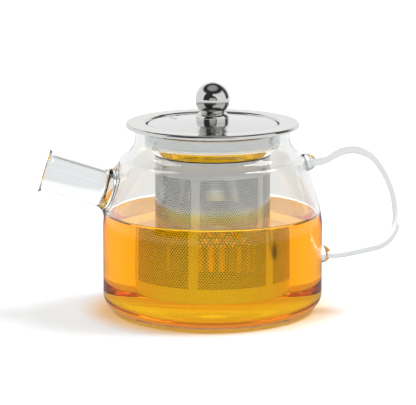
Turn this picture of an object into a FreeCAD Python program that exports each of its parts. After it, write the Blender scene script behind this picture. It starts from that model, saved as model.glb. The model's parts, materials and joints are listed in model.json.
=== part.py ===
import FreeCAD, Part
import math
import os
import Sketcher
from FreeCAD import Placement, Rotation, Vector

# Glass teapot with a lift-out perforated infuser and a ball-knob lid, in millimetres and degrees.
# The origin is the middle of the base on the table. +Z is up, the spout points to -X and the handle to +X.

DIMENSIONS = {
    # Glass pot, outer form
    "body_radius": 57.5,
    "base_round": 10.0,
    "belly_top": 51.0,
    "belly_round": 48.0,
    "shoulder_radius": 48.5,
    "shoulder_height": 81.2,
    "shoulder_round": 6.0,
    "neck_radius": 40.5,
    "neck_height": 85.8,
    "neck_round": 11.2,
    "glass_height": 98.6,
    "glass_wall": 2.3,
    "lip_bevel": 0.8,
    # Spout, measured along its axis from where that crosses the pot's axis
    "spout_foot": 47.0,
    "spout_rise": 17.0,
    "spout_radius": 10.0,
    "spout_wall": 1.8,
    "spout_blend": 6.0,
    "spout_seal": 74.0,
    "spout_length": 92.2,
    "spout_lip_radius": 11.9,
    "spout_lip_length": 3.0,
    # Handle, corners of its centre line before rounding
    "strap_thickness": 3.8,
    "strap_width": 7.5,
    "handle_upper_seal": 78.4,
    "handle_bend": 56.5,
    "handle_peak": 78.3,
    "handle_peak_height": 90.4,
    "handle_reach": 96.4,
    "handle_back_height": 63.5,
    "handle_heel_height": 35.8,
    "handle_toe": 67.0,
    "handle_lower_seal": 29.4,
    "gather_radius": 4.6,
    # Infuser
    "steel_sheet": 0.8,
    "flange_radius": 45.5,
    "flange_height": 99.6,
    "flange_edge": 2.0,
    "flange_round": 1.2,
    "collar_radius": 35.5,
    "bead_height": 95.7,
    "bead_depth": 1.1,
    "collar_bottom": 88.3,
    "collar_round": 3.0,
    "taper_bottom": 82.3,
    "spigot_length": 5.0,
    "sleeve_radius": 30.1,
    "sleeve_sheet": 0.6,
    "sleeve_bottom": 10.7,
    "sleeve_top": 82.0,
    "panel_count": 5,
    "panel_turn": 1.0,
    "perforation_bottom": 20.4,
    "perforation_radius": 1.9,
    "perforation_columns": 6,
    "perforation_rows": 5,
    "column_pitch": 11.2,
    "row_pitch": 11.4,
    "cup_height": 5.0,
    "cup_round": 1.6,
    "drain_radius": 1.9,
    "drain_inner_ring": 9.0,
    "drain_outer_ring": 18.5,
    # Lid
    "lid_sheet": 0.7,
    "lid_radius": 34.3,
    "lid_land": 10.0,
    "lid_crown": 100.3,
    "lid_dome_round": 200.0,
    "lid_edge": 98.9,
    "lid_edge_round": 1.5,
    "lid_skirt": 96.7,
    "vent_radius": 1.1,
    "vent_spacing": 6.0,
    # Knob
    "knob_radius": 9.1,
    "knob_height": 111.6,
    "knob_sheet": 0.7,
    "foot_radius": 8.6,
    "foot_shoulder": 103.6,
    "foot_round": 2.6,
    "foot_neck_radius": 5.9,
    "foot_top": 105.2,
    "insert_radius": 3.5,
    "insert_bottom": 103.3,
    "insert_top": 109.0,
    "screw_radius": 1.9,
    "screw_hole": 2.2,
    "screw_top": 108.0,
    "screw_head_radius": 3.6,
    "screw_head": 2.0,
    "screw_head_round": 0.5,
    "washer_radius": 5.5,
    "washer_sheet": 0.7,
}

doc = FreeCAD.newDocument("Teapot")
sheet = doc.addObject("Spreadsheet::Sheet", "Dimensions")
for row, (alias, value) in enumerate(DIMENSIONS.items(), start=1):
    sheet.set(f"A{row}", alias)
    sheet.set(f"B{row}", str(value))
    sheet.setAlias(f"B{row}", alias)
doc.recompute()


class Size:
    """A number together with the sheet expression that it comes from."""

    def __init__(self, number, text):
        self.number = float(number)
        self.text = text

    def joined(self, sign, other, number):
        text = other.text if isinstance(other, Size) else f"{other:.6f}"
        return Size(number, f"({self.text} {sign} {text})")

    def __float__(self):
        return self.number

    def __add__(self, other):
        return self.joined("+", other, self.number + float(other))

    def __sub__(self, other):
        return self.joined("-", other, self.number - float(other))

    def __mul__(self, other):
        return self.joined("*", other, self.number * float(other))


def size(alias):
    return Size(sheet.get(alias), f"Dimensions.{alias}")


ZERO = Size(0, "0")
WHOLE_TURN = Size(360, "360")


def bind(thing, **sizes):
    """Bind properties of a document object to sizes from the sheet."""
    for name, value in sizes.items():
        thing.setExpression(name, value.text)


# Sketches: an outline is a list of corners (x, y) or (x, y, rounding)


def direction(start, end):
    return Vector(float(end[0]) - float(start[0]), float(end[1]) - float(start[1]), 0).normalize()


def pin(sketch, geometry, end, x, y):
    """Fix one point of a sketch by its two distances from the origin."""
    for kind, axis, value in (("DistanceX", -2, x), ("DistanceY", -1, y)):
        if abs(float(value)) < 1e-9:
            sketch.addConstraint(Sketcher.Constraint("PointOnObject", geometry, end, axis))
            continue
        number = sketch.addConstraint(Sketcher.Constraint(kind, -1, 1, geometry, end, float(value)))
        sketch.setExpression(f"Constraints[{number}]", value.text)


def draw(sketch, corners, closed=True):
    """Draw straight runs through the corners and round them with tangent arcs, all bound to the sheet."""
    count = len(corners)
    runs = count if closed else count - 1
    points = [Vector(float(c[0]), float(c[1]), 0) for c in corners]
    leave, reach, arcs = list(points), list(points), {}
    for i, corner in enumerate(corners):
        if len(corner) < 3:
            continue
        ahead = direction(corner, corners[(i + 1) % count])
        behind = direction(corners[i - 1], corner)
        half_turn = behind.getAngle(ahead) / 2
        radius = float(corner[2])
        reach[i] = points[i] - behind * (radius * math.tan(half_turn))
        leave[i] = points[i] + ahead * (radius * math.tan(half_turn))
        centre = points[i] + (ahead - behind).normalize() * (radius / math.cos(half_turn))
        left_turn = behind.cross(ahead).z > 0
        first, last = (reach[i], leave[i]) if left_turn else (leave[i], reach[i])
        angles = [math.atan2(p.y - centre.y, p.x - centre.x) for p in (first, last)]
        circle = Part.Circle(centre, Vector(0, 0, 1), radius)
        arcs[i] = (Part.ArcOfCircle(circle, *angles), left_turn)
    lines = []
    for i in range(runs):
        segment = Part.LineSegment(leave[i], reach[(i + 1) % count])
        lines.append(sketch.addGeometry(segment))
    for i, corner in enumerate(corners):
        before = lines[i - 1] if closed or i > 0 else None
        after = lines[i] if i < runs else None
        if i in arcs:
            arc, left_turn = arcs[i]
            bend = sketch.addGeometry(arc)
            mark = sketch.addGeometry(Part.Point(points[i]), True)
            start, finish = (1, 2) if left_turn else (2, 1)
            sketch.addConstraint(Sketcher.Constraint("Tangent", before, 2, bend, start))
            sketch.addConstraint(Sketcher.Constraint("Tangent", bend, finish, after, 1))
            sketch.addConstraint(Sketcher.Constraint("PointOnObject", mark, 1, before))
            sketch.addConstraint(Sketcher.Constraint("PointOnObject", mark, 1, after))
            number = sketch.addConstraint(Sketcher.Constraint("Radius", bend, float(corner[2])))
            sketch.setExpression(f"Constraints[{number}]", corner[2].text)
            pin(sketch, mark, 1, corner[0], corner[1])
        elif before is not None and after is not None:
            sketch.addConstraint(Sketcher.Constraint("Coincident", before, 2, after, 1))
            pin(sketch, after, 1, corner[0], corner[1])
        else:
            pin(sketch, *((after, 1) if before is None else (before, 2)), corner[0], corner[1])


def inset(corners, wall):
    """The same run of corners moved to its left by the wall, with its roundings kept concentric."""
    moved = []
    for i, corner in enumerate(corners):
        ways = []
        if i > 0:
            ways.append(direction(corners[i - 1], corner))
        if i < len(corners) - 1:
            ways.append(direction(corner, corners[i + 1]))
        normals = [Vector(-w.y, w.x, 0) for w in ways]
        shift = (normals[0] + normals[-1]) * (1 / (1 + normals[0].dot(normals[-1])))
        place = [c + wall * s if abs(s) > 1e-9 else c for c, s in zip(corner, (shift.x, shift.y))]
        if len(corner) > 2:
            left_turn = ways[0].cross(ways[-1]).z > 0
            place.append(corner[2] - wall if left_turn else corner[2] + wall)
        moved.append(tuple(place))
    return moved


def walled(corners, wall):
    """A closed outline of a bent sheet, from the corners of its one face and its thickness."""
    return corners + inset(corners, wall)[::-1]


# Features that most sub-parts share


def new_body(label):
    body = doc.addObject("PartDesign::Body", label)
    body.Label = label
    return body


def new_sketch(body, name, role):
    """A sketch on one of the body's own origin planes."""
    sketch = body.newObject("Sketcher::SketchObject", name)
    plane = next(f for f in body.Origin.OriginFeatures if f.Role == role)
    sketch.AttachmentSupport = [(plane, "")]
    sketch.MapMode = "FlatFace"
    return sketch


def turned(label, corners, angle="360"):
    """A body turned about Z from an outline of (radius, height) corners, centred on +X if it isn't whole."""
    body = new_body(label)
    sketch = new_sketch(body, f"{label}_outline", "XZ_Plane")
    draw(sketch, corners)
    turn = body.newObject("PartDesign::Revolution", f"{label}_turn")
    turn.Profile = sketch
    turn.ReferenceAxis = (sketch, ["V_Axis"])
    turn.Midplane = True
    turn.setExpression("Angle", angle)
    doc.recompute()
    return body


def combined(kind, label, base, tool):
    """A boolean of two document objects."""
    result = doc.addObject(kind, label)
    result.Label = label
    result.Base = base
    result.Tool = tool
    doc.recompute()
    return result


def hexagon(radius, x, y):
    """Corners of a six-sided hole, which stands for a small round one."""
    corners = []
    for side in range(6):
        angle = math.radians(60 * side + 30)
        corners.append((x + radius * math.cos(angle), y + radius * math.sin(angle)))
    return corners


def through_cut(body, name, role, outline, turn=None):
    """Cut an outline through one side of a body, along the plane's normal, and check that it cut."""
    before = body.Shape.Volume
    sketch = new_sketch(body, f"{name}_outline", role)
    if turn:
        sketch.AttachmentOffset = Placement(Vector(0, 0, 0), Rotation(Vector(0, -1, 0), 1))
        sketch.setExpression("AttachmentOffset.Rotation.Angle", turn.text)
    draw(sketch, outline)
    cut = body.newObject("PartDesign::Pocket", name)
    cut.Profile = sketch
    cut.Type = "ThroughAll"
    cut.Reversed = True
    doc.recompute()
    if body.Shape.Volume > before - 1e-6:
        raise RuntimeError(f"{name} cut nothing")
    return cut


def round_pattern(body, name, sketch, axis, extent, count):
    """A pattern about Z, over an extent in degrees."""
    pattern = body.newObject("PartDesign::PolarPattern", name)
    pattern.Axis = (sketch, [axis])
    bind(pattern, Angle=extent, Occurrences=count)
    return pattern


# Glass pot: the turned vessel with the spout root blown out of its wall


def along_spout(thing):
    """Lay an object's Z axis along the spout's axis."""
    thing.Placement = Placement(Vector(0, 0, 0), Rotation(Vector(0, -1, 0), 90))
    thing.setExpression("Placement.Base.z", "Dimensions.spout_foot")
    thing.setExpression("Placement.Rotation.Angle", "90 - Dimensions.spout_rise")


def spout_rod(label, radius, length):
    rod = doc.addObject("Part::Cylinder", label)
    bind(rod, Radius=radius, Height=length)
    along_spout(rod)
    doc.recompute()
    return rod


def blended(label, base):
    """Round the corner where the spout root leaves the wall."""
    axis = base.Tool.Placement.Rotation.multVec(Vector(0, 0, 1))
    foot = base.Tool.Placement.Base
    radius = float(size("spout_radius"))
    blend = float(size("spout_blend"))
    seal = float(size("spout_seal"))
    chosen = []
    for number, edge in enumerate(base.Shape.Edges, start=1):
        samples = [p - foot for p in edge.discretize(9)]
        heights = [p.dot(axis) for p in samples]
        off_axis = [(p - axis * s).Length for p, s in zip(samples, heights)]
        on_tube = max(abs(r - radius) for r in off_axis) < 0.01
        straight = isinstance(edge.Curve, Part.Line)
        if on_tube and not straight and max(heights) < seal - blend / 2:
            chosen.append((number, blend, blend))
    result = doc.addObject("Part::Fillet", label)
    result.Base = base
    result.Edges = chosen
    doc.recompute()
    return result


outer_line = [
    (ZERO, ZERO),
    (size("body_radius"), ZERO, size("base_round")),
    (size("body_radius"), size("belly_top"), size("belly_round")),
    (size("shoulder_radius"), size("shoulder_height"), size("shoulder_round")),
    (size("neck_radius"), size("neck_height"), size("neck_round")),
    (size("neck_radius"), size("glass_height")),
]
inner_line = inset(outer_line, size("glass_wall"))


def bevelled(line, bevel):
    """A run of corners that ends at the pot's mouth, with its last corner cut back towards the wall."""
    radius, height = line[-1]
    return line[:-1] + [(radius, height - size("lip_bevel")), (radius + bevel, height), (ZERO, height)]


glass_form = turned("glass_form", bevelled(outer_line, size("lip_bevel") * -1))
glass_hollow = turned("glass_hollow", bevelled(inner_line, size("lip_bevel")))

spout_root = spout_rod("spout_root", size("spout_radius"), size("spout_seal"))
spout_bore = spout_rod("spout_bore", size("spout_radius") - size("spout_wall"), size("spout_seal"))
rooted_form = combined("Part::Fuse", "rooted_form", glass_form, spout_root)
blended_form = blended("blended_form", rooted_form)
whole_hollow = combined("Part::Fuse", "whole_hollow", glass_hollow, spout_bore)
glass_body = combined("Part::Cut", "glass_body", blended_form, whole_hollow)

# Spout: a straight tube with a flared lip, sealed onto the root

tube_line = [
    (size("spout_radius"), size("spout_seal")),
    (size("spout_radius"), size("spout_length") - size("spout_lip_length"), size("spout_lip_length")),
    (size("spout_lip_radius"), size("spout_length")),
]
spout = turned("spout", walled(tube_line, size("spout_wall")))
along_spout(spout)

# Handle: a flattened strap bent like an ear, with a gather of glass at each seal


def gather(label, height, radius):
    drop = doc.addObject("Part::Sphere", label)
    bind(drop, Radius=size("gather_radius"))
    drop.setExpression("Placement.Base.x", radius.text)
    drop.setExpression("Placement.Base.z", height.text)
    return drop


strap = new_body("handle_strap")
upper, lower = size("handle_upper_seal"), size("handle_lower_seal")
strap_start = size("neck_radius")
path = new_sketch(strap, "handle_path", "XZ_Plane")
path_corners = [
    (strap_start, upper),
    (size("handle_bend"), upper, size("handle_reach") * 0.2),
    (size("handle_peak"), size("handle_peak_height"), size("handle_reach") * 0.175),
    (size("handle_reach"), size("handle_back_height"), size("handle_reach") * 0.5),
    (size("handle_reach"), size("handle_heel_height"), size("handle_reach") * 0.15),
    (size("handle_toe"), lower, size("handle_reach") * 0.4),
    (strap_start, lower),
]
draw(path, path_corners, closed=False)
section = new_sketch(strap, "handle_section", "YZ_Plane")
section.AttachmentOffset = Placement(Vector(0, 0, float(strap_start)), Rotation())
half_width, half_thickness = size("strap_width") * 0.5, size("strap_thickness") * 0.5
strap_round = size("strap_thickness") * 0.45
section_corners = [
    (half_width * -1, upper - half_thickness, strap_round),
    (half_width, upper - half_thickness, strap_round),
    (half_width, upper + half_thickness, strap_round),
    (half_width * -1, upper + half_thickness, strap_round),
]
draw(section, section_corners)
pipe = strap.newObject("PartDesign::AdditivePipe", "handle_pipe")
pipe.Profile = section
pipe.Spine = path
doc.recompute()
drops = combined(
    "Part::Fuse",
    "handle_gathers",
    gather("upper_gather", upper, size("shoulder_radius") + 1.0),
    gather("lower_gather", lower, size("body_radius")),
)
whole_handle = combined("Part::Fuse", "handle_form", strap, drops)
handle = combined("Part::Cut", "handle", whole_handle, glass_form)

# Infuser rim: flange, collar with the bead that carries the lid, taper and spigot, pressed from one sheet

collar = size("collar_radius") - size("steel_sheet")
bead = size("bead_height")
spigot = size("sleeve_radius") - size("sleeve_sheet") - size("steel_sheet")
rim_line = [
    (size("flange_radius"), size("flange_height") - size("flange_edge")),
    (size("flange_radius"), size("flange_height"), size("flange_round")),
    (collar, size("flange_height"), size("flange_round")),
    (collar, bead + size("bead_depth")),
    (collar - size("bead_depth"), bead),
    (collar, bead - size("bead_depth")),
    (collar, size("collar_bottom"), size("collar_round")),
    (spigot, size("taper_bottom"), size("flange_round")),
    (spigot, size("sleeve_top") - size("spigot_length")),
]
infuser_rim = turned("infuser_rim", walled(rim_line, size("steel_sheet")))

# Infuser sleeve: one panel of staggered holes between two half strips, repeated round the sleeve

sleeve_inside = size("sleeve_radius") - size("sleeve_sheet")
sleeve_outline = [
    (sleeve_inside, size("sleeve_bottom")),
    (size("sleeve_radius"), size("sleeve_bottom")),
    (size("sleeve_radius"), size("sleeve_top")),
    (sleeve_inside, size("sleeve_top")),
]
infuser_sleeve = turned("infuser_sleeve", sleeve_outline, "360 / Dimensions.panel_count")


def perforate(body, name, height, columns):
    """Cut a panel's first hole, then repeat it up and across the panel."""
    span = (columns - 1) * size("column_pitch")
    outline = hexagon(size("perforation_radius"), ZERO, height)
    cut = through_cut(body, f"{name}_hole", "YZ_Plane", outline, span * 0.5)
    up = body.newObject("PartDesign::LinearPattern", f"{name}_rows")
    up.Direction = (cut.Profile[0], ["V_Axis"])
    rows = size("perforation_rows")
    bind(up, Length=(rows - 1) * size("row_pitch"), Occurrences=rows)
    across = round_pattern(body, f"{name}_columns", cut.Profile[0], "V_Axis", span, columns)
    every = body.newObject("PartDesign::MultiTransform", f"{name}_holes")
    every.Originals = [cut]
    every.Transformations = [up, across]
    body.Tip = every
    doc.recompute()


first_row = size("perforation_bottom")
perforate(infuser_sleeve, "even", first_row, size("perforation_columns"))
perforate(infuser_sleeve, "odd", first_row + size("row_pitch") * 0.5, size("perforation_columns") - 1)
panel_sketch = infuser_sleeve.Group[0]
panels = round_pattern(infuser_sleeve, "panels", panel_sketch, "V_Axis", WHOLE_TURN, size("panel_count"))
panels.TransformMode = "Whole shape"
panels.Refine = False
infuser_sleeve.Tip = panels
infuser_sleeve.setExpression("Placement.Rotation.Angle", "Dimensions.panel_turn")
doc.recompute()

# Infuser base: a pressed cup with drain holes, which closes the sleeve

cup_line = [
    (ZERO, size("sleeve_bottom")),
    (sleeve_inside, size("sleeve_bottom"), size("cup_round")),
    (sleeve_inside, size("sleeve_bottom") + size("cup_height")),
]
infuser_base = turned("infuser_base", walled(cup_line, size("sleeve_sheet")))
for ring, drains in (("drain_inner_ring", 6), ("drain_outer_ring", 12)):
    drain = through_cut(infuser_base, ring, "XY_Plane", hexagon(size("drain_radius"), size(ring), ZERO))
    count = Size(drains, str(drains))
    circle = round_pattern(infuser_base, f"{ring}_row", drain.Profile[0], "N_Axis", WHOLE_TURN, count)
    circle.Originals = [drain]
    infuser_base.Tip = circle
    doc.recompute()

# Lid plate: a pressed disc with a flat land for the knob, a turned-down edge and three vents

lid_line = [
    (size("lid_radius"), size("lid_skirt")),
    (size("lid_radius"), size("lid_edge"), size("lid_edge_round")),
    (size("lid_land"), size("lid_crown"), size("lid_dome_round")),
    (size("screw_hole"), size("lid_crown")),
]
lid_plate = turned("lid_plate", walled(lid_line, size("lid_sheet")))
for vent, (column, row) in enumerate(((-3.3, 1.7), (-3.6, 2.7), (-3.1, 3.8))):
    place = (size("vent_spacing") * column, size("vent_spacing") * row)
    through_cut(lid_plate, f"vent_{vent}", "XY_Plane", hexagon(size("vent_radius"), *place))

# Knob: a hollow ball in two halves on a bell-shaped foot, held by a screw from below the lid


def knob_ball(label, radius, low, high):
    ball = doc.addObject("Part::Sphere", label)
    bind(ball, Radius=radius)
    ball.Angle1 = low
    ball.Angle2 = high
    ball.setExpression("Placement.Base.z", "Dimensions.knob_height")
    return ball


ball_form = knob_ball("ball_form", size("knob_radius"), -90, 90)
ball_hollow = knob_ball("ball_hollow", size("knob_radius") - size("knob_sheet"), -90, 90)
upper_half = knob_ball("upper_half", size("knob_radius"), 0, 90)
lower_half = knob_ball("lower_half", size("knob_radius"), -90, 0)
insert_hole = doc.addObject("Part::Cylinder", "insert_hole")
bind(insert_hole, Radius=size("insert_radius"), Height=size("knob_height"))
doc.recompute()
knob_upper_shell = combined("Part::Cut", "knob_upper_shell", upper_half, ball_hollow)
lower_bowl = combined("Part::Cut", "lower_bowl", lower_half, ball_hollow)
knob_lower_shell = combined("Part::Cut", "knob_lower_shell", lower_bowl, insert_hole)

foot_outline = [
    (size("screw_hole"), size("lid_crown")),
    (size("foot_radius"), size("lid_crown")),
    (size("foot_radius"), size("foot_shoulder"), size("foot_round")),
    (size("foot_neck_radius"), size("foot_top")),
    (size("screw_hole"), size("foot_top")),
]
foot_form = turned("foot_form", foot_outline)
knob_foot = combined("Part::Cut", "knob_foot", foot_form, ball_form)

insert_outline = [
    (size("screw_radius"), size("insert_bottom")),
    (size("insert_radius"), size("insert_bottom")),
    (size("insert_radius"), size("insert_top")),
    (size("screw_radius"), size("insert_top")),
]
knob_insert = turned("knob_insert", insert_outline)

washer_top = size("lid_crown") - size("lid_sheet")
washer_bottom = washer_top - size("washer_sheet")
washer_outline = [
    (size("screw_hole"), washer_bottom),
    (size("washer_radius"), washer_bottom),
    (size("washer_radius"), washer_top),
    (size("screw_hole"), washer_top),
]
knob_washer = turned("knob_washer", washer_outline)

head_bottom = washer_bottom - size("screw_head")
screw_outline = [
    (ZERO, head_bottom),
    (size("screw_head_radius"), head_bottom, size("screw_head_round")),
    (size("screw_head_radius"), washer_bottom),
    (size("screw_radius"), washer_bottom),
    (size("screw_radius"), size("screw_top")),
    (ZERO, size("screw_top")),
]
knob_screw = turned("knob_screw", screw_outline)

# Check every object, then write each sub-part

SUB_PARTS = [
    glass_body,
    spout,
    handle,
    infuser_rim,
    infuser_sleeve,
    infuser_base,
    lid_plate,
    knob_upper_shell,
    knob_lower_shell,
    knob_foot,
    knob_insert,
    knob_washer,
    knob_screw,
]

doc.recompute()
for thing in doc.Objects:
    if "Invalid" in thing.State or "Error" in thing.State:
        raise RuntimeError(f"{thing.Label} failed: {thing.State}")
os.makedirs("parts", exist_ok=True)
for part in SUB_PARTS:
    if part.Shape.isNull() or not part.Shape.isValid():
        raise RuntimeError(f"{part.Label} has no valid shape")
    part.Shape.exportStep(f"parts/{part.Label}.step")
    print(f"{part.Label}: {len(part.Shape.Solids)} solid, {part.Shape.Volume:.0f} cubic mm")
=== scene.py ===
import json
import math

import bpy
from mathutils import Matrix, Vector

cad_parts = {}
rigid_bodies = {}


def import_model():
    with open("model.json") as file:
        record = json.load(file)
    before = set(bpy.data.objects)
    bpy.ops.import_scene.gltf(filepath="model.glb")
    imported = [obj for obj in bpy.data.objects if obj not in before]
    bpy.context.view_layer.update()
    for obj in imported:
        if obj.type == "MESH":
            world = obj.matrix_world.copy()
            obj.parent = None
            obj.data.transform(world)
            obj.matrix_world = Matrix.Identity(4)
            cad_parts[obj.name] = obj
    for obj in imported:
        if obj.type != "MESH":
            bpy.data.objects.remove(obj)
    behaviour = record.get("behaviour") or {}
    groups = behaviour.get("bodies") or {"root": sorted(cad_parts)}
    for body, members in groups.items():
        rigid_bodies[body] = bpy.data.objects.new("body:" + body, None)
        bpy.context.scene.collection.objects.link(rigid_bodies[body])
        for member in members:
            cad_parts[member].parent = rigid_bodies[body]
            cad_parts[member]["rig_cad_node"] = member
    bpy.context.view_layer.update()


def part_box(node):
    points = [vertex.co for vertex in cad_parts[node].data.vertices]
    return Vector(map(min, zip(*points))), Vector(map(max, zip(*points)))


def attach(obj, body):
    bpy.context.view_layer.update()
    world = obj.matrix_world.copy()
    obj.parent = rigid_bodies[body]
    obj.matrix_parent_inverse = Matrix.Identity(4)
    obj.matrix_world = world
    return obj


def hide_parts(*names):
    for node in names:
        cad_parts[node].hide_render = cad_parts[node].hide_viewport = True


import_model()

# Glass teapot with tea in it, a perforated steel infuser and a steel lid. Metres, in the CAD model's frame.

MM = 0.001
MERGE_DISTANCE = 0.002 * MM
TOUCH = 0.05 * MM

# Glass wall and spout, as in the CAD model
BODY_RADIUS = 57.5 * MM
GLASS_WALL = 2.3 * MM
SPOUT_FOOT = Vector((0, 0, 47.0 * MM))
SPOUT_RISE = math.radians(17)
SPOUT_AXIS = Vector((-math.cos(SPOUT_RISE), 0, math.sin(SPOUT_RISE)))
SPOUT_RADIUS = 10.0 * MM
SPOUT_WALL = 1.8 * MM
SPOUT_SEAL = 74.0 * MM
SPOUT_LENGTH = 92.2 * MM
SPOUT_LIP_RADIUS = 11.9 * MM
SPOUT_LIP_LENGTH = 4.0 * MM
SPOUT_LIP_EDGE = 0.6 * MM
SPOUT_STEPS = 6
SEAL_REACH = 2.0 * MM
SEAL_OVERLAP = 0.7 * MM
GLASS_CREASE = 32

# Tea, which fills the pot to its level, reaches a little into the wall and climbs where it meets it
TEA_LEVEL = 51.7 * MM
TEA_OVERLAP = 0.3 * MM
TEA_GAP = 0.03 * MM
TEA_CORNER = 7.7 * MM
MENISCUS = 1.3 * MM
TEA_STEPS = 160
TEA_CREASE = 40

# Perforated sleeve. The real holes are taken as 0.65 mm and drawn a little larger, so that they show.
SLEEVE_RADIUS = 30.1 * MM
SLEEVE_SHEET = 0.5 * MM
SLEEVE_CREASE = 30
PANEL_COUNT = 5
FIRST_PANEL = math.radians(1)
HOLE_RADIUS = 0.40 * MM
HOLE_COLUMNS = 25
HOLE_ROWS = 58
PERFORATION_LOW = 18.3 * MM
PERFORATION_HIGH = 73.8 * MM
STRIP_WIDTH = 3.9 * MM
STRIP_STEPS = 6

# Tools for modelling


def deselect_all():
    if bpy.context.object and bpy.context.object.mode != "OBJECT":
        bpy.ops.object.mode_set(mode="OBJECT")
    bpy.ops.object.select_all(action="DESELECT")


def make_active(piece):
    deselect_all()
    piece.select_set(True)
    bpy.context.view_layer.objects.active = piece


def select_all_of(piece):
    """Open a piece in edit mode with all of it selected."""
    make_active(piece)
    bpy.ops.object.mode_set(mode="EDIT")
    bpy.ops.mesh.select_all(action="SELECT")


def select_faces(piece, wanted):
    """Open a piece in edit mode with only the faces selected that a test wants."""
    make_active(piece)
    bpy.ops.object.mode_set(mode="EDIT")
    bpy.ops.mesh.select_mode(type="FACE")
    bpy.ops.mesh.select_all(action="DESELECT")
    bpy.ops.object.mode_set(mode="OBJECT")
    for face in piece.data.polygons:
        face.select = wanted(face)
    bpy.ops.object.mode_set(mode="EDIT")


def merge_doubles(piece):
    select_all_of(piece)
    bpy.ops.mesh.remove_doubles(threshold=MERGE_DISTANCE)
    bpy.ops.object.mode_set(mode="OBJECT")


def face_towards(piece, way):
    """Turn the faces of an open sheet round if its first face points against a direction."""
    if piece.data.polygons[0].normal.dot(way) < 0:
        select_all_of(piece)
        bpy.ops.mesh.flip_normals()
        bpy.ops.object.mode_set(mode="OBJECT")


def smooth(piece, crease):
    make_active(piece)
    bpy.ops.object.shade_smooth_by_angle(angle=math.radians(crease))


def apply_modifier(piece, kind, **settings):
    make_active(piece)
    modifier = piece.modifiers.new(kind.lower(), kind)
    for name, value in settings.items():
        setattr(modifier, name, value)
    bpy.ops.object.modifier_apply(modifier=modifier.name)


def apply_array(piece, count, step):
    apply_modifier(
        piece,
        "ARRAY",
        count=count,
        use_relative_offset=False,
        use_constant_offset=True,
        constant_offset_displace=step,
        use_merge_vertices=True,
        merge_threshold=MERGE_DISTANCE,
    )


def joined(pieces):
    make_active(pieces[0])
    for piece in pieces:
        piece.select_set(True)
    bpy.ops.object.join()
    return pieces[0]


def copy_of_node(cad_node, name):
    """A free copy of a CAD node's mesh with its triangles merged."""
    source = next(o for o in bpy.data.objects if o.get("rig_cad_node") == cad_node)
    copy = source.copy()
    copy.data = source.data.copy()
    copy.name = name
    copy.parent = None
    for key in [k for k in copy.keys() if k.startswith("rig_")]:
        del copy[key]
    bpy.context.collection.objects.link(copy)
    make_active(copy)
    bpy.ops.mesh.customdata_custom_splitnormals_clear()
    merge_doubles(copy)
    return copy


def arc_line(corners, step=0.5 * MM):
    """Points of an outline of corners (radius, height[, rounding]) whose rounded corners become arcs."""
    points = []
    for i, corner in enumerate(corners):
        here = Vector(corner[:2])
        if len(corner) < 3:
            points.append(here)
            continue
        rounding = corner[2]
        behind = (here - Vector(corners[i - 1][:2])).normalized()
        ahead = (Vector(corners[i + 1][:2]) - here).normalized()
        turn = behind.angle_signed(ahead)
        start = here - behind * rounding * math.tan(abs(turn) / 2)
        side = Vector((-behind.y, behind.x)) * (-1 if turn > 0 else 1)
        centre = start + side * rounding
        count = max(3, round(abs(turn) * rounding / step))
        for k in range(count + 1):
            points.append(centre + Matrix.Rotation(-turn * k / count, 2) @ (start - centre))
    return points


def turned(name, line, steps):
    """Draw an outline of (radius, height) point by point, then spin it about Z."""
    deselect_all()
    bpy.ops.mesh.primitive_plane_add(size=MM)
    piece = bpy.context.object
    piece.name = name
    bpy.ops.object.mode_set(mode="EDIT")
    bpy.ops.mesh.select_mode(type="VERT")
    bpy.ops.mesh.select_all(action="SELECT")
    bpy.ops.mesh.merge(type="CENTER")
    bpy.ops.transform.translate(value=(line[0].x, 0, line[0].y))
    for before, after in zip(line, line[1:]):
        step = (after.x - before.x, 0, after.y - before.y)
        bpy.ops.mesh.extrude_vertices_move(TRANSFORM_OT_translate={"value": step})
    bpy.ops.mesh.select_all(action="SELECT")
    bpy.ops.mesh.spin(steps=steps, angle=math.tau, center=(0, 0, 0), axis=(0, 0, 1))
    bpy.ops.mesh.select_all(action="SELECT")
    bpy.ops.mesh.remove_doubles(threshold=MERGE_DISTANCE)
    bpy.ops.mesh.normals_make_consistent(inside=False)
    bpy.ops.object.mode_set(mode="OBJECT")
    return piece


# Materials


def colour(hex_text):
    parts = [int(hex_text[i : i + 2], 16) / 255 for i in (1, 3, 5)]
    linear = [p / 12.92 if p <= 0.04045 else ((p + 0.055) / 1.055) ** 2.4 for p in parts]
    return (*linear, 1.0)


def node(tree, kind, inputs=None, **settings):
    """Add a node, with settings and with inputs that are numbers, colours or other nodes' sockets."""
    made = tree.nodes.new(kind)
    for name, value in settings.items():
        setattr(made, name, value)
    for name, value in (inputs or {}).items():
        if isinstance(value, bpy.types.NodeSocket):
            tree.links.new(value, made.inputs[name])
        else:
            made.inputs[name].default_value = value
    return made


def new_material(name):
    material = bpy.data.materials.new(name)
    material.use_nodes = True
    material.node_tree.nodes.clear()
    return material


def wears(piece, material):
    piece.data.materials.clear()
    piece.data.materials.append(material)


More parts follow.
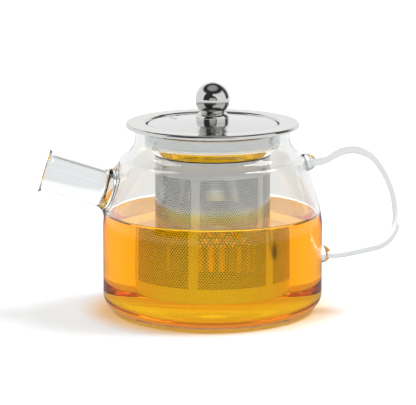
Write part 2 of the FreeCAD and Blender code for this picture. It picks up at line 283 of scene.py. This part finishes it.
def clear_material(name, bending, tint, wave, detail, lift, height, light_kept=None, density=0):
    """A clear material with slow waves in its surface. With a density, its colour deepens inside."""
    material = new_material(name)
    tree = material.node_tree
    place = node(tree, "ShaderNodeTexCoord")
    waves = node(
        tree,
        "ShaderNodeTexNoise",
        {"Vector": place.outputs["Object"], "Scale": 1 / wave, "Detail": 1.0, "Roughness": detail},
    )
    bump = node(
        tree,
        "ShaderNodeBump",
        {"Height": waves.outputs["Fac"], "Strength": lift, "Distance": height},
    )
    shader = node(
        tree,
        "ShaderNodeBsdfPrincipled",
        {
            "Base Color": colour(tint),
            "Roughness": 0.0,
            "IOR": bending,
            "Transmission Weight": 1.0,
            "Normal": bump.outputs["Normal"],
        },
    )
    end = node(tree, "ShaderNodeOutputMaterial", {"Surface": shader.outputs["BSDF"]})
    if density:
        depth = node(tree, "ShaderNodeVolumeAbsorption", {"Color": colour(light_kept), "Density": density})
        tree.links.new(depth.outputs["Volume"], end.inputs["Volume"])
    return material


def stainless_steel(name, tone, rough, spread, grain, lift):
    """Stainless steel: a neutral metal whose gloss varies a little with the grain of its finish."""
    material = new_material(name)
    tree = material.node_tree
    place = node(tree, "ShaderNodeTexCoord")
    marks = node(
        tree,
        "ShaderNodeTexNoise",
        {"Vector": place.outputs["Object"], "Scale": 1 / grain, "Detail": 3.0},
    )
    gloss = node(
        tree,
        "ShaderNodeMapRange",
        {"Value": marks.outputs["Fac"], "To Min": max(rough - spread, 0.0), "To Max": rough + spread},
    )
    bump = node(
        tree,
        "ShaderNodeBump",
        {"Height": marks.outputs["Fac"], "Strength": lift, "Distance": 0.05 * MM},
    )
    shader = node(
        tree,
        "ShaderNodeBsdfPrincipled",
        {
            "Base Color": colour(tone),
            "Metallic": 1.0,
            "Roughness": gloss.outputs["Result"],
            "Normal": bump.outputs["Normal"],
        },
    )
    node(tree, "ShaderNodeOutputMaterial", {"Surface": shader.outputs["BSDF"]})
    return material


# Borosilicate glass, blown and fire polished: colourless, with sharp reflections and slow waves.
# Where tea wets it, light bends less. The drawn strap of the handle takes out a little more light.
GLASS_BENDING = 1.47
TEA_BENDING = 1.333
GLASS_SKIN = {"tint": "#f4f6f6", "wave": 22 * MM, "detail": 0.4, "lift": 0.12, "height": 0.4 * MM}
GLASS = clear_material("borosilicate_glass_blown", GLASS_BENDING, **GLASS_SKIN)
WET_GLASS = clear_material("borosilicate_glass_wet", GLASS_BENDING / TEA_BENDING, **GLASS_SKIN)
DRAWN_GLASS = clear_material(
    "borosilicate_glass_drawn", GLASS_BENDING, **GLASS_SKIN, light_kept="#b8bcba", density=36.0
)

# Brewed tea: a clear liquid that takes out blue and some green, so depth turns it from yellow to amber.
# Light bends at its surface. The wet glass bends it at the wall, so the body of the tea bends it no more.
NO_BENDING = 1.001
TEA_SKIN = {"tint": "#ffffff", "wave": 14 * MM, "detail": 0.5, "lift": 0.05, "height": 0.3 * MM}
TEA = clear_material("brewed_tea", NO_BENDING, **TEA_SKIN, light_kept="#fff400", density=130.0)
TEA_TOP = clear_material("brewed_tea_surface", TEA_BENDING, **TEA_SKIN)

# Stainless steel in its finishes. The grain is coarser than the real one, which is too fine to show.
# Polished: a mirror with faint slow marks. Satin: a soft mirror. Sheet: duller, and its inside is painted
# near black as shade.
# Turned: dull, with marks from the tool.
MIRROR_STEEL = stainless_steel("stainless_steel_polished", "#d2d2d0", 0.045, 0.02, 9 * MM, 0.02)
SATIN_STEEL = stainless_steel("stainless_steel_satin", "#d4d4d3", 0.13, 0.03, 0.8 * MM, 0.05)
SHEET_STEEL = stainless_steel("stainless_steel_perforated_sheet", "#c8c6c3", 0.2, 0.04, 2.5 * MM, 0.05)
# Painted shade: near-black steel for the sleeve's inside and the walls of its holes, where the basket is in
# shade.
SHADED_INSIDE_STEEL = stainless_steel("stainless_steel_painted_shade_inside", "#1f1d1b", 0.5, 0.05, 2.5 * MM, 0.05)
TURNED_STEEL = stainless_steel("stainless_steel_turned", "#bdbdbb", 0.3, 0.05, 1.2 * MM, 0.05)

# Glass: the CAD vessel drawn out into the spout, with the handle sealed on


def along_spout(point):
    return (point - SPOUT_FOOT).dot(SPOUT_AXIS)


def draw_spout(glass):
    """Draw the cut end of the spout root out along the spout's axis, then open it into the lip."""

    def at_seal(face):
        faces_out = face.normal.dot(SPOUT_AXIS) > 0.99
        return faces_out and abs(along_spout(face.center) - SPOUT_SEAL) < TOUCH

    lip_start = SPOUT_LENGTH - SPOUT_LIP_LENGTH
    flare = SPOUT_LIP_RADIUS - SPOUT_RADIUS
    shares = [k / SPOUT_STEPS for k in range(1, SPOUT_STEPS + 1)]
    stations = [(SPOUT_SEAL, SPOUT_RADIUS)]
    stations += [(SPOUT_SEAL + (lip_start - SPOUT_SEAL) * share, SPOUT_RADIUS) for share in shares]
    stations += [(lip_start + SPOUT_LIP_LENGTH * share, SPOUT_RADIUS + flare * share**2) for share in shares]
    across_spout = Vector((0, 0, 1)).rotation_difference(SPOUT_AXIS).to_matrix()
    select_faces(glass, at_seal)
    for (place, radius), (next_place, next_radius) in zip(stations, stations[1:]):
        step = SPOUT_AXIS * (next_place - place)
        bpy.ops.mesh.extrude_region_move(TRANSFORM_OT_translate={"value": step})
        grow = (next_radius - SPOUT_WALL / 2) / (radius - SPOUT_WALL / 2)
        bpy.ops.transform.resize(
            value=(grow, grow, 1.0),
            orient_matrix=across_spout,
            orient_type="GLOBAL",
            orient_matrix_type="GLOBAL",
            center_override=SPOUT_FOOT + SPOUT_AXIS * next_place,
        )
    bpy.ops.mesh.region_to_loop()
    bpy.ops.mesh.bevel(offset=SPOUT_LIP_EDGE, segments=3, affect="EDGES")
    bpy.ops.object.mode_set(mode="OBJECT")


def sink_seals(handle):
    """Sink the faces that the handle rests on the wall with into the wall, so that the glass joins."""

    def on_wall(face):
        return face.normal.x < -0.35 and face.center.x < BODY_RADIUS + SEAL_REACH

    select_faces(handle, on_wall)
    bpy.ops.transform.translate(value=(-SEAL_OVERLAP, 0, 0))
    bpy.ops.object.mode_set(mode="OBJECT")


def wet_inside(glass):
    """Give the inner wall up to the tea, and the underside on the table, the glass that bends light less."""
    select_all_of(glass)
    bpy.ops.mesh.bisect(plane_co=(0, 0, TEA_LEVEL), plane_no=(0, 0, 1))
    bpy.ops.object.mode_set(mode="OBJECT")
    middle = Vector((0, 0, TEA_LEVEL / 2))
    widest = BODY_RADIUS - GLASS_WALL / 2

    def wetted(face):
        inside = face.center.xy.length < widest and face.center.z < TEA_LEVEL
        on_table = face.center.z < TOUCH
        return on_table or (inside and face.normal.dot(middle - face.center) > 0)

    glass.data.materials.append(WET_GLASS)
    select_faces(glass, wetted)
    glass.active_material_index = 1
    bpy.ops.object.material_slot_assign()
    bpy.ops.object.mode_set(mode="OBJECT")


glass_pot = copy_of_node("glass_body", "glass_pot")
draw_spout(glass_pot)
wears(glass_pot, GLASS)
wet_inside(glass_pot)
smooth(glass_pot, GLASS_CREASE)
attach(glass_pot, "pot")
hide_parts("glass_body", "spout")

glass_handle = copy_of_node("handle", "glass_handle")
sink_seals(glass_handle)
smooth(glass_handle, GLASS_CREASE)
wears(glass_handle, DRAWN_GLASS)
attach(glass_handle, "pot")
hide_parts("handle")

# Tea: a closed body, and just above it the surface that bends the light

tea_radius = BODY_RADIUS - GLASS_WALL + TEA_OVERLAP
tea_floor = GLASS_WALL - TEA_OVERLAP
tea_top = TEA_LEVEL - TEA_GAP
tea_line = [
    (0, tea_floor),
    (tea_radius, tea_floor, TEA_CORNER),
    (tea_radius, tea_top),
    (tea_radius / 2, tea_top),
    (0, tea_top),
]
tea = turned("tea", arc_line(tea_line), TEA_STEPS)
smooth(tea, TEA_CREASE)
wears(tea, TEA)
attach(tea, "pot")

surface_line = [
    (0, TEA_LEVEL),
    (tea_radius / 2, TEA_LEVEL),
    (tea_radius - 3.4 * MM, TEA_LEVEL),
    (tea_radius - 2.0 * MM, TEA_LEVEL + MENISCUS * 0.1),
    (tea_radius - 1.2 * MM, TEA_LEVEL + MENISCUS * 0.35),
    (tea_radius - 0.4 * MM, TEA_LEVEL + MENISCUS),
]
tea_surface = turned("tea_surface", arc_line(surface_line), TEA_STEPS)
face_towards(tea_surface, Vector((0, 0, 1)))
smooth(tea_surface, TEA_CREASE)
wears(tea_surface, TEA_TOP)
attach(tea_surface, "pot")

# Sleeve: five perforated panels in a blank frame, all wrapped round the infuser's axis

panel_width = (math.tau * SLEEVE_RADIUS - PANEL_COUNT * STRIP_WIDTH) / PANEL_COUNT
cell_width = panel_width / HOLE_COLUMNS
cell_height = (PERFORATION_HIGH - PERFORATION_LOW) / HOLE_ROWS


def hole_cell(x, z):
    """A rectangle of sheet with a six-sided hole, from a circle whose rim is drawn out to its edge."""
    deselect_all()
    bpy.ops.mesh.primitive_circle_add(
        vertices=6, radius=HOLE_RADIUS, location=(0, 0, 0), rotation=(math.pi / 2, 0, 0)
    )
    cell = bpy.context.object
    bpy.ops.object.transform_apply(location=True, rotation=True, scale=True)
    bpy.ops.object.mode_set(mode="EDIT")
    bpy.ops.mesh.select_all(action="SELECT")
    bpy.ops.mesh.extrude_edges_move(TRANSFORM_OT_translate={"value": (0, 0, 0)})
    bpy.ops.object.mode_set(mode="OBJECT")
    for vertex in cell.data.vertices:
        if vertex.select:
            in_middle = abs(vertex.co.x) < 0.1 * HOLE_RADIUS
            across = 0 if in_middle else math.copysign(cell_width / 2, vertex.co.x)
            vertex.co = (across, 0, math.copysign(cell_height / 2, vertex.co.z))
        vertex.co += Vector((x, 0, z))
    return cell


def blank_sheet(x_low, x_high, z_low, z_high, columns):
    """A blank rectangle of sheet, divided so that it wraps smoothly."""
    deselect_all()
    bpy.ops.mesh.primitive_grid_add(
        x_subdivisions=columns, y_subdivisions=1, size=1.0, rotation=(math.pi / 2, 0, 0)
    )
    piece = bpy.context.object
    piece.scale = (x_high - x_low, z_high - z_low, 1.0)
    piece.location = ((x_low + x_high) / 2, 0, (z_low + z_high) / 2)
    bpy.ops.object.transform_apply(location=True, rotation=True, scale=True)
    return piece


def perforated_panel(number):
    """One panel of staggered rows of holes."""
    edge = panel_width / 2
    low = PERFORATION_LOW + cell_height / 2
    even = hole_cell(-edge + cell_width / 2, low)
    apply_array(even, HOLE_COLUMNS, (cell_width, 0, 0))
    odd = hole_cell(-edge + cell_width, low + cell_height)
    apply_array(odd, HOLE_COLUMNS - 1, (cell_width, 0, 0))
    odd_low, odd_high = low + cell_height / 2, low + cell_height * 1.5
    first = blank_sheet(-edge, -edge + cell_width / 2, odd_low, odd_high, 1)
    last = blank_sheet(edge - cell_width / 2, edge, odd_low, odd_high, 1)
    panel = joined([even, odd, first, last])
    panel.name = f"sleeve_panel_{number}"
    merge_doubles(panel)
    apply_array(panel, HOLE_ROWS // 2, (0, 0, 2 * cell_height))
    return panel


def sleeve_frame():
    """The sleeve's blank bands and strips as one sheet."""
    low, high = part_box("infuser_sleeve")
    pieces = []
    for k in range(PANEL_COUNT):
        panel_left = k * (panel_width + STRIP_WIDTH)
        panel_right = panel_left + panel_width
        strip_right = panel_right + STRIP_WIDTH
        for z_low, z_high in ((low[2], PERFORATION_LOW), (PERFORATION_HIGH, high[2])):
            pieces.append(blank_sheet(panel_left, panel_right, z_low, z_high, 2 * HOLE_COLUMNS))
            pieces.append(blank_sheet(panel_right, strip_right, z_low, z_high, STRIP_STEPS))
        pieces.append(blank_sheet(panel_right, strip_right, PERFORATION_LOW, PERFORATION_HIGH, STRIP_STEPS))
    whole = joined(pieces)
    whole.name = "sleeve_frame"
    return whole


def wrapped(piece, middle):
    """Wrap a flat sheet round the infuser's axis, centred on an angle, and give it its thickness inwards."""
    for vertex in piece.data.vertices:
        angle = middle + vertex.co.x / SLEEVE_RADIUS
        vertex.co = (SLEEVE_RADIUS * math.cos(angle), SLEEVE_RADIUS * math.sin(angle), vertex.co.z)
    merge_doubles(piece)
    select_all_of(piece)
    bpy.ops.mesh.normals_make_consistent(inside=False)
    bpy.ops.object.mode_set(mode="OBJECT")
    first = piece.data.polygons[0].center
    face_towards(piece, Vector((first.x, first.y, 0)))
    wears(piece, SHEET_STEEL)
    # The inside and the walls of the holes get the near-black steel: painted shade from inside the basket.
    piece.data.materials.append(SHADED_INSIDE_STEEL)
    apply_modifier(
        piece,
        "SOLIDIFY",
        thickness=SLEEVE_SHEET,
        offset=-1.0,
        material_offset=1,
        material_offset_rim=1,
    )
    smooth(piece, SLEEVE_CREASE)
    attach(piece, "infuser")
    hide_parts("infuser_sleeve")


for number in range(PANEL_COUNT):
    wrapped(perforated_panel(number + 1), FIRST_PANEL + math.tau * number / PANEL_COUNT)
wrapped(sleeve_frame(), FIRST_PANEL - panel_width / 2 / SLEEVE_RADIUS)

# CAD nodes that stay, in their finishes

FINISHES = {
    "infuser_rim": MIRROR_STEEL,
    "infuser_base": SHEET_STEEL,
    "lid_plate": SATIN_STEEL,
    "knob_upper_shell": MIRROR_STEEL,
    "knob_lower_shell": MIRROR_STEEL,
    "knob_foot": MIRROR_STEEL,
    "knob_insert": TURNED_STEEL,
    "knob_washer": TURNED_STEEL,
    "knob_screw": TURNED_STEEL,
}
for shown in [o for o in bpy.data.objects if o.get("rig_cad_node") in FINISHES]:
    wears(shown, FINISHES[shown["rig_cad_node"]])

# Stage: a white table in a white studio, with its own brightness for the camera, in glass and in steel

TABLE_WHITE = 0.8
TABLE_GLOW = 0.52
TABLE_IN_STEEL = 0.3
TABLE_IN_GLASS = 1.6
FAR_TABLE_IN_GLASS = 0.97
TEA_LIGHT_REACH = 14 * MM
ROOM_IN_GLASS = 0.96
CEILING_IN_GLASS = 0.2
ROOM_LEVEL = 0.04
CORNER_IN_STEEL = 0.1
STRIP_IN_STEEL = 0.55
CEILING_IN_STEEL = 0.4


def table_top():
    """A white table, bright where glass shows it near the pot, with amber light from the tea round it."""
    deselect_all()
    bpy.ops.mesh.primitive_plane_add(size=8.0)
    table = bpy.context.object
    table.name = "table_top"
    material = new_material("white_table")
    tree = material.node_tree
    place = node(tree, "ShaderNodeTexCoord")
    path = node(tree, "ShaderNodeLightPath")
    from_pot = node(tree, "ShaderNodeVectorMath", {0: place.outputs["Object"]}, operation="LENGTH")

    # Each level fades from one value near the pot to another farther out: distances, then values
    fades = {
        "to_camera": (0.12, 0.45, TABLE_GLOW, 1.0),
        "in_steel": (0.3, 0.5, TABLE_IN_STEEL, 1.0),
        "in_glass": (0.2, 0.3, TABLE_IN_GLASS, FAR_TABLE_IN_GLASS),
        "tea_light": (BODY_RADIUS, BODY_RADIUS + TEA_LIGHT_REACH, 1.0, 0.0),
    }
    level = {}
    for name, (near, far, low, high) in fades.items():
        limits = {"From Min": near, "From Max": far, "To Min": low, "To Max": high}
        fade = node(tree, "ShaderNodeMapRange", {"Value": from_pot.outputs["Value"], **limits})
        level[name] = fade.outputs["Result"]

    camera_ray = path.outputs["Is Camera Ray"]
    glossy_ray = path.outputs["Is Glossy Ray"]
    glass_ray = path.outputs["Is Transmission Ray"]
    seen = node(tree, "ShaderNodeMath", {0: camera_ray, 1: level["to_camera"]}, operation="MULTIPLY")
    indirect = node(
        tree, "ShaderNodeMix", {"Factor": glass_ray, "A": level["in_steel"], "B": level["in_glass"]}
    )
    strength = node(
        tree,
        "ShaderNodeMath",
        {0: glossy_ray, 1: indirect.outputs["Result"], 2: seen.outputs[0]},
        operation="MULTIPLY_ADD",
    )
    amber = node(tree, "ShaderNodeMath", {0: level["tea_light"], 1: camera_ray}, operation="MULTIPLY")
    tint = node(
        tree,
        "ShaderNodeMix",
        {"Factor": amber.outputs[0], "A": colour("#ffffff"), "B": colour("#f7b23c")},
        data_type="RGBA",
    )
    glow = node(
        tree,
        "ShaderNodeEmission",
        {"Color": tint.outputs["Result"], "Strength": strength.outputs[0]},
    )
    white = node(tree, "ShaderNodeMix", {"Factor": glossy_ray, "A": TABLE_WHITE, "B": 0.0})
    matt = node(tree, "ShaderNodeBsdfDiffuse", {"Color": white.outputs["Result"]})
    both = node(tree, "ShaderNodeAddShader", {0: matt.outputs[0], 1: glow.outputs[0]})
    node(tree, "ShaderNodeOutputMaterial", {"Surface": both.outputs[0]})
    wears(table, material)


def studio():
    """A white backdrop for the camera. Steel mirrors lit walls, a front strip and a ceiling in the dark."""
    world = bpy.data.worlds.new("studio")
    bpy.context.scene.world = world
    world.use_nodes = True
    tree = world.node_tree
    tree.nodes.clear()
    place = node(tree, "ShaderNodeTexCoord")
    way = node(tree, "ShaderNodeSeparateXYZ", {"Vector": place.outputs["Generated"]})
    path = node(tree, "ShaderNodeLightPath")
    level = {
        "camera_ray": path.outputs["Is Camera Ray"],
        "glossy_ray": path.outputs["Is Glossy Ray"],
        "glass_ray": path.outputs["Is Transmission Ray"],
        "white": 1.0,
    }

    # Each level fades along one axis of the direction: start and end, then the values there
    fades = {
        "backdrop": ("Y", 0.72, 0.93, ROOM_LEVEL, 1.0),
        "left_wall": ("Y", -0.5, -0.35, ROOM_LEVEL, 1.0),
        "window": ("Y", -0.9, -0.83, ROOM_LEVEL, 1.0),
        "corner": ("Y", 0.6, 0.75, CORNER_IN_STEEL, 1.0),
        "past_window": ("Y", 0.1, 0.2, 0.0, 1.0),
        "on_right": ("X", 0.0, 0.02, 0.0, 1.0),
        "front_strip": ("Z", 0.24, 0.3, STRIP_IN_STEEL, ROOM_LEVEL),
        "in_front": ("Y", -0.95, -0.9, 1.0, 0.0),
        "ceiling": ("Z", 0.86, 0.94, ROOM_LEVEL, CEILING_IN_STEEL),
        "overhead": ("Z", 0.6, 0.72, 0.0, 1.0),
        "in_glass": ("Z", 0.2, 0.75, ROOM_IN_GLASS, CEILING_IN_GLASS),
    }
    for name, (axis, start, end, low, high) in fades.items():
        limits = {"From Min": start, "From Max": end, "To Min": low, "To Max": high}
        fade = node(tree, "ShaderNodeMapRange", {"Value": way.outputs[axis], **limits})
        level[name] = fade.outputs["Result"]

    # Each choice is the first level where the switch is 0 and the second where it is 1
    choices = {
        "right_wall": ("past_window", "window", "corner"),
        "walls": ("on_right", "left_wall", "right_wall"),
        "round_pot": ("in_front", "walls", "front_strip"),
        "in_steel": ("overhead", "round_pot", "ceiling"),
        "on_matt_or_steel": ("glossy_ray", "backdrop", "in_steel"),
        "on_all": ("glass_ray", "on_matt_or_steel", "in_glass"),
        "shown": ("camera_ray", "on_all", "white"),
    }
    for name, (switch, first, second) in choices.items():
        choice = node(
            tree, "ShaderNodeMix", {"Factor": level[switch], "A": level[first], "B": level[second]}
        )
        level[name] = choice.outputs["Result"]
    light = node(tree, "ShaderNodeBackground", {"Color": colour("#ffffff"), "Strength": level["shown"]})
    node(tree, "ShaderNodeOutputWorld", {"Surface": light.outputs[0]})


def softbox(name, place, size, power):
    """A lamp aimed at the pot. Steel and glass mirror the studio instead of the lamp."""
    light = bpy.data.lights.new(name, "AREA")
    light.shape = "RECTANGLE"
    light.size, light.size_y = size
    light.energy = power
    lamp = bpy.data.objects.new(name, light)
    bpy.context.collection.objects.link(lamp)
    lamp.location = place
    lamp.visible_glossy = False
    lamp.rotation_euler = (POT_MIDDLE - Vector(place)).to_track_quat("-Z", "Y").to_euler()


POT_MIDDLE = Vector((0, 0, 0.06))
table_top()
studio()
softbox("softbox_right", place=(0.8, 0.2, 1.2), size=(0.6, 0.6), power=18.0)
softbox("softbox_left", place=(-0.8, 0.1, 1.1), size=(0.5, 0.6), power=6.0)

# Camera: at the photograph's height and distance, with a long lens

CAMERA_BACK = 1.5
CAMERA_HEIGHT = 0.347
PIXELS_WIDE = 416
FOCAL_PIXELS = 2915
SENSOR_WIDTH = 36.0
AIM = Vector((-2.4 * MM, 0, 56.8 * MM))
camera_data = bpy.data.cameras.new("camera")
camera_data.sensor_width = SENSOR_WIDTH
camera_data.lens = SENSOR_WIDTH * FOCAL_PIXELS / PIXELS_WIDE
camera = bpy.data.objects.new("camera", camera_data)
bpy.context.collection.objects.link(camera)
camera.location = (AIM.x, -CAMERA_BACK, CAMERA_HEIGHT)
camera.rotation_euler = (AIM - camera.location).to_track_quat("-Z", "Y").to_euler()

# Light passes many walls of glass, tea and steel holes, so its paths are long
scene = bpy.context.scene
scene.camera = camera
scene.view_settings.view_transform = "Standard"
scene.cycles.max_bounces = 48
scene.cycles.transmission_bounces = 40
scene.cycles.glossy_bounces = 8
